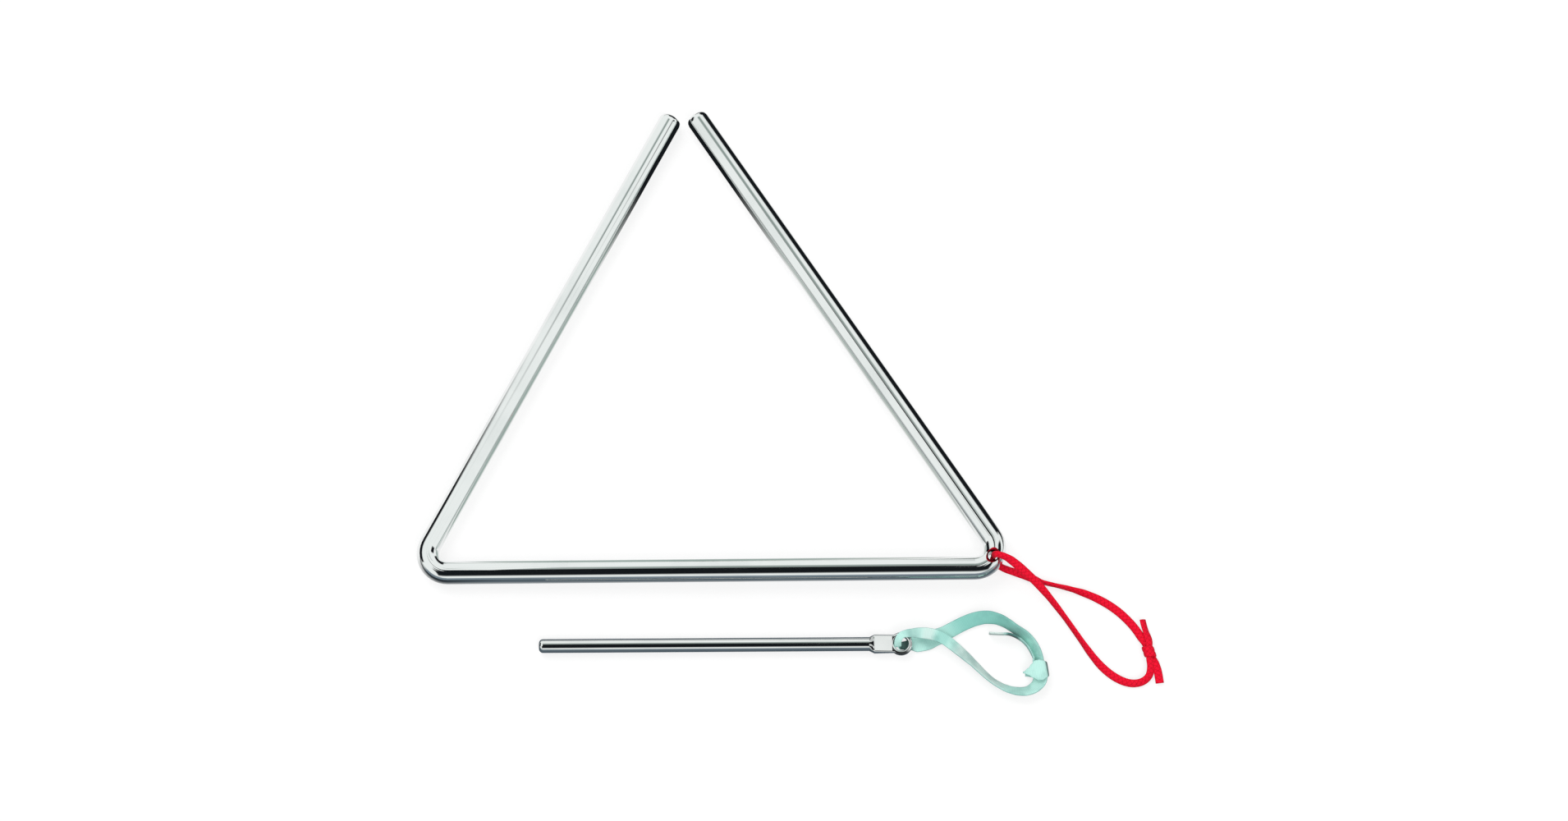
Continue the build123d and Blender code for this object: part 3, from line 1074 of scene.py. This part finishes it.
@dataclass
class Studio:
    """Camera, pale table and plain soft light, with the panels, walls and cards that the metal mirrors."""

    target_mm: Place = (25.58, -11.07, 0.0)
    elevation: float = 75.0
    turn: float = -0.356
    distance_mm: float = 1100.0
    focal_px: float = 3799.0
    clip_m: Step = (0.01, 20.0)
    table_half_m: float = 2.0
    table_height_m: float = -0.0002
    table_glow: float = 0.72
    key_m: Place = (-0.55, 0.75, 1.35)
    front_m: Place = (0.5, -0.9, 1.2)
    flag_mm: tuple[Place, ...] = (
        (-6.5, 42.0, 0.0), (-9.7, 97.0, 0.0), (-9.7, 97.0, 6.6), (-8.4, 75.0, 7.2),
    )
    reflector_mm: tuple[Place, ...] = (
        (-121.1, -32.2, 128.0), (-90.3, -46.6, 128.0), (-25.4, 93.2, 128.0), (-56.2, 107.6, 128.0),
    )
    reflector_fade_mm: Step = (97.0, -5.0)
    horizon: Step = (0.0, 0.1)
    veil: Panel = Panel((-0.26, -0.04, 0.08, 0.32), (0.2, 0.32, 0.46, 0.62))
    overhead: tuple[Panel, ...] = (
        Panel((-0.175, -0.152, 0.045, 0.07), (-0.84, -0.61, 0.2, 0.33)),
        Panel((-0.36, -0.26, 0.16, 0.24), (-0.84, -0.61, -0.02, 0.07)),
        Panel((-0.48, -0.4, 0.5, 0.62), (-0.84, -0.61, -0.2, -0.12)),
    )
    walls: tuple[Wall, ...] = (
        Wall(62.0, (0.891, 0.934), (-0.4, -0.25, 0.32, 0.5), Tone.BLACK),
        Wall(165.0, (0.903, 0.924), (-0.1, 0.0, 0.44, 0.62), Tone.BLACK),
        Wall(205.0, (0.9, 0.97), (-0.2, -0.1, 0.16, 0.3), Tone.MIST),
        Wall(12.0, (0.955, 0.985), (0.4, 0.48, 0.78, 0.86), Tone.BLACK),
        Wall(265.0, (0.35, 0.65), (-0.3, -0.2, 0.28, 0.44), Tone.SLATE),
        Wall(332.0, (0.75, 0.92), (-0.3, -0.2, 0.14, 0.3), Tone.DOVE),
    )

    def build(self) -> None:
        """Set the stage."""
        scene = bpy.context.scene
        scene.view_settings.view_transform = "Standard"
        self.camera(scene)
        self.surroundings(scene)
        self.table()
        self.card("flag", self.flag_mm, Tone.BLACK)
        self.card("reflector", self.reflector_mm, Tone.PALE, self.reflector_fade_mm)
        self.lamp("key_softbox", self.key_m, size=1.1, power=12.0)
        self.lamp("front_softbox", self.front_m, size=0.9, power=8.0)

    def camera(self, scene: bpy.types.Scene) -> None:
        """Place the camera at the photograph's viewing angle.

        Args:
            scene: The scene it looks at.
        """
        data = bpy.data.cameras.new("camera")
        data.sensor_width = SENSOR_MM
        data.lens = self.focal_px / PHOTO_WIDTH * SENSOR_MM
        made = bpy.data.objects.new("camera", data)
        scene.collection.objects.link(made)
        rise = math.radians(self.elevation)
        turn = math.radians(self.turn)
        back = Vector((math.sin(turn) * math.cos(rise), -math.cos(turn) * math.cos(rise), math.sin(rise)))
        made.location = (Vector(self.target_mm) + back * self.distance_mm) * MM
        made.rotation_euler = (math.radians(90.0 - self.elevation), 0.0, turn)
        data.clip_start, data.clip_end = self.clip_m
        scene.camera = made

    def surroundings(self, scene: bpy.types.Scene) -> None:
        """Wire the world: white to the camera, an even fill, and a studio for the metal to mirror.

        Args:
            scene: The scene it surrounds.
        """
        world = bpy.data.worlds.new("studio")
        scene.world = world
        sheet = NodeSheet(world)
        way = sheet.parts("Generated")
        above = sheet.ramp(way[2], *self.horizon)
        veil = sheet.times(self.veil.mask(sheet, way), above)
        dark: Any = 0.0
        for panel in self.overhead:
            dark = sheet.math("MAXIMUM", dark, panel.mask(sheet, way))
        seen = sheet.blend(veil, Tone.PALE.value, Tone.VEIL.value)
        seen = sheet.blend(sheet.times(dark, above), seen, Tone.BLACK.value)
        for wall in self.walls:
            seen = sheet.blend(wall.mask(sheet, way), seen, wall.tone.value)
        path = sheet.add("ShaderNodeLightPath")
        shown = sheet.blend(path.outputs[LightRay.GLOSSY.value], Tone.FILL.value, seen)
        shown = sheet.blend(path.outputs[LightRay.CAMERA.value], shown, Tone.WHITE.value)
        glow = sheet.add("ShaderNodeBackground")
        sheet.feed(glow.inputs["Color"], shown)
        sheet.feed(sheet.add("ShaderNodeOutputWorld").inputs["Surface"], glow.outputs["Background"])

    def table(self) -> None:
        """Build the pale table, which keeps the object's shadow."""
        shape = bmesh.new()
        bmesh.ops.create_grid(shape, x_segments=2, y_segments=2, size=self.table_half_m)
        bmesh.ops.translate(shape, verts=shape.verts, vec=(0.0, 0.0, self.table_height_m))
        material = bpy.data.materials.new("table_white")
        sheet = NodeSheet(material)
        path = sheet.add("ShaderNodeLightPath")
        matt = sheet.add("ShaderNodeBsdfDiffuse")
        matt.inputs["Color"].default_value = Tone.MATT.value
        glow = sheet.add("ShaderNodeEmission")
        sheet.feed(glow.inputs["Strength"], sheet.times(path.outputs[LightRay.CAMERA.value], self.table_glow))
        both = sheet.add("ShaderNodeAddShader")
        sheet.feed(both.inputs[0], matt.outputs[0])
        sheet.feed(both.inputs[1], glow.outputs[0])
        # Glossy rays see the table with painted grey, slate and black areas, painted reflections that the
        # camera never sees.
        mirrored = sheet.add("ShaderNodeEmission")
        sheet.feed(mirrored.inputs["Color"], MirroredTable().colour(sheet))
        glossy = path.outputs[LightRay.GLOSSY.value]
        sheet.show(sheet.either(glossy, both.outputs[0], mirrored.outputs[0]))
        put_in_scene("table", shape, material)

    def card(self, name: str, places_mm: Sequence[Place], tone: Tone, fade_mm: Step | None = None) -> None:
        """Hang a small card that only the metal mirrors.

        Args:
            name: The card's name.
            places_mm: Its corners, in millimetres.
            tone: Its tone.
            fade_mm: Where along Y it starts to show and where it shows in full, or None for a plain card.
        """
        shape = bmesh.new()
        corners = [shape.verts.new(Vector(place) * MM) for place in places_mm]
        bmesh.ops.contextual_create(shape, geom=corners)
        material = bpy.data.materials.new(name + "_tone")
        sheet = NodeSheet(material)
        glow = sheet.add("ShaderNodeEmission")
        glow.inputs["Color"].default_value = tone.value
        shown = glow.outputs[0]
        if fade_mm is not None:
            share = sheet.ramp(sheet.parts("Object")[1], fade_mm[0] * MM, fade_mm[1] * MM)
            shown = sheet.either(share, sheet.add("ShaderNodeBsdfTransparent").outputs[0], shown)
        sheet.show(shown)
        made = put_in_scene(name, shape, material)
        made.visible_camera = False
        made.visible_diffuse = False
        made.visible_shadow = False

    def lamp(self, name: str, place: Place, size: float, power: float) -> None:
        """Hang one soft lamp that faces the object.

        Args:
            name: The lamp's name.
            place: Where it hangs, in metres.
            size: Side of its square face.
            power: Its power in watts.
        """
        data = bpy.data.lights.new(name, "AREA")
        data.shape = "SQUARE"
        data.size = size
        data.energy = power
        made = bpy.data.objects.new(name, data)
        made.location = place
        made.rotation_euler = (-Vector(place)).to_track_quat("-Z", "Y").to_euler()
        made.visible_glossy = False
        bpy.context.scene.collection.objects.link(made)


def joint_place(frame: dict[str, Any], name: str) -> Vector:
    """Return the table point under a joint.

    Args:
        name: The joint's name.

    Returns:
        The point, in metres.
    """
    joint = next(item for item in frame["joints"] if item["name"] == name)
    return Vector((joint["pos_m"][0], joint["pos_m"][1], 0.0))


def main() -> None:
    """Load the frame, set the stage and dress it."""
    logging.basicConfig(level=logging.INFO, format="%(name)s %(message)s")
    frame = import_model()
    Studio().build()
    hole = joint_place(frame, "hanger_swing")
    red = BraidFinish(
        "red_lace",
        strand=(0.86, 0.004, 0.03, 1.0),
        valley_shade=(0.55, 0.001, 0.014, 1.0),
        pitch_mm=1.6,
        strands_round=4,
    )
    HangerCord(hole, red.material()).build()
    plain = RibbonFinish(
        "mint_lace",
        face=(0.54, 0.88, 0.8, 1.0),
        back=(0.52, 0.87, 0.79, 1.0),
        deeper_teal=(0.25, 0.6, 0.53, 1.0),
        edge=(0.1, 0.32, 0.29, 1.0),
        rib_mm=0.55,
    )
    tinges = (
        # Painted shade on the crossing run by the eye.
        Tinge((5.5, 8.5, 9.5, 12.5), plain.painted_shade, 0.2),
        # Painted highlight on the crossing run.
        Tinge((10.5, 13.5, 15.0, 17.5), plain.pale_and_highlight, 0.6),
        # A deeper teal stretch where the runs cross.
        Tinge((16.0, 18.0, 20.5, 23.0), plain.deeper_teal, 0.6),
        # Painted light on the crossing run's steep stretch, which the lamps light too little.
        Tinge((23.0, 27.0, 42.0, 49.0), plain.pale_and_highlight, 0.7),
        # Painted shadow at the long tail's root, in the angle between it and the upper run.
        Tinge((76.5, 78.5, 81.5, 83.0), plain.painted_shade, 0.9, through=True),
    )
    mint = replace(plain, tinges=tinges)
    # The fold's right side, where it turns down, gets painted shade on both faces.
    fold = replace(plain, name="mint_fold", shaded_mm=(4.3, 5.0, 6.3, 7.2), shaded_through=True)
    HandStrap(joint_place(frame, "strap_swing"), mint.material(), fold.material()).build()
    metal = MetalParts(frame["nodes"])
    plated_bar = ChromeFinish(
        "bar_plating",
        bright=(0.86, 0.875, 0.87, 1.0),
        dull=(0.8, 0.82, 0.815, 1.0),
        smooth=0.045,
        smeared=0.1,
        # Painted shade round the drilled hole.
        hole=(hole.x, hole.y),
    )
    metal.dress("triangle_bar", plated_bar)
    plated_beater = ChromeFinish(
        "beater_plating",
        bright=(0.86, 0.865, 0.86, 1.0),
        dull=(0.79, 0.8, 0.795, 1.0),
        smooth=0.04,
        smeared=0.1,
        # Painted dark reflections across the shoulder and along the eye's lower rim.
        shoulder=(0.05435, 0.0561),
        eye=(0.0625, -0.0972),
    )
    metal.dress("beater", plated_beater)


if __name__ == "__main__":
    main()
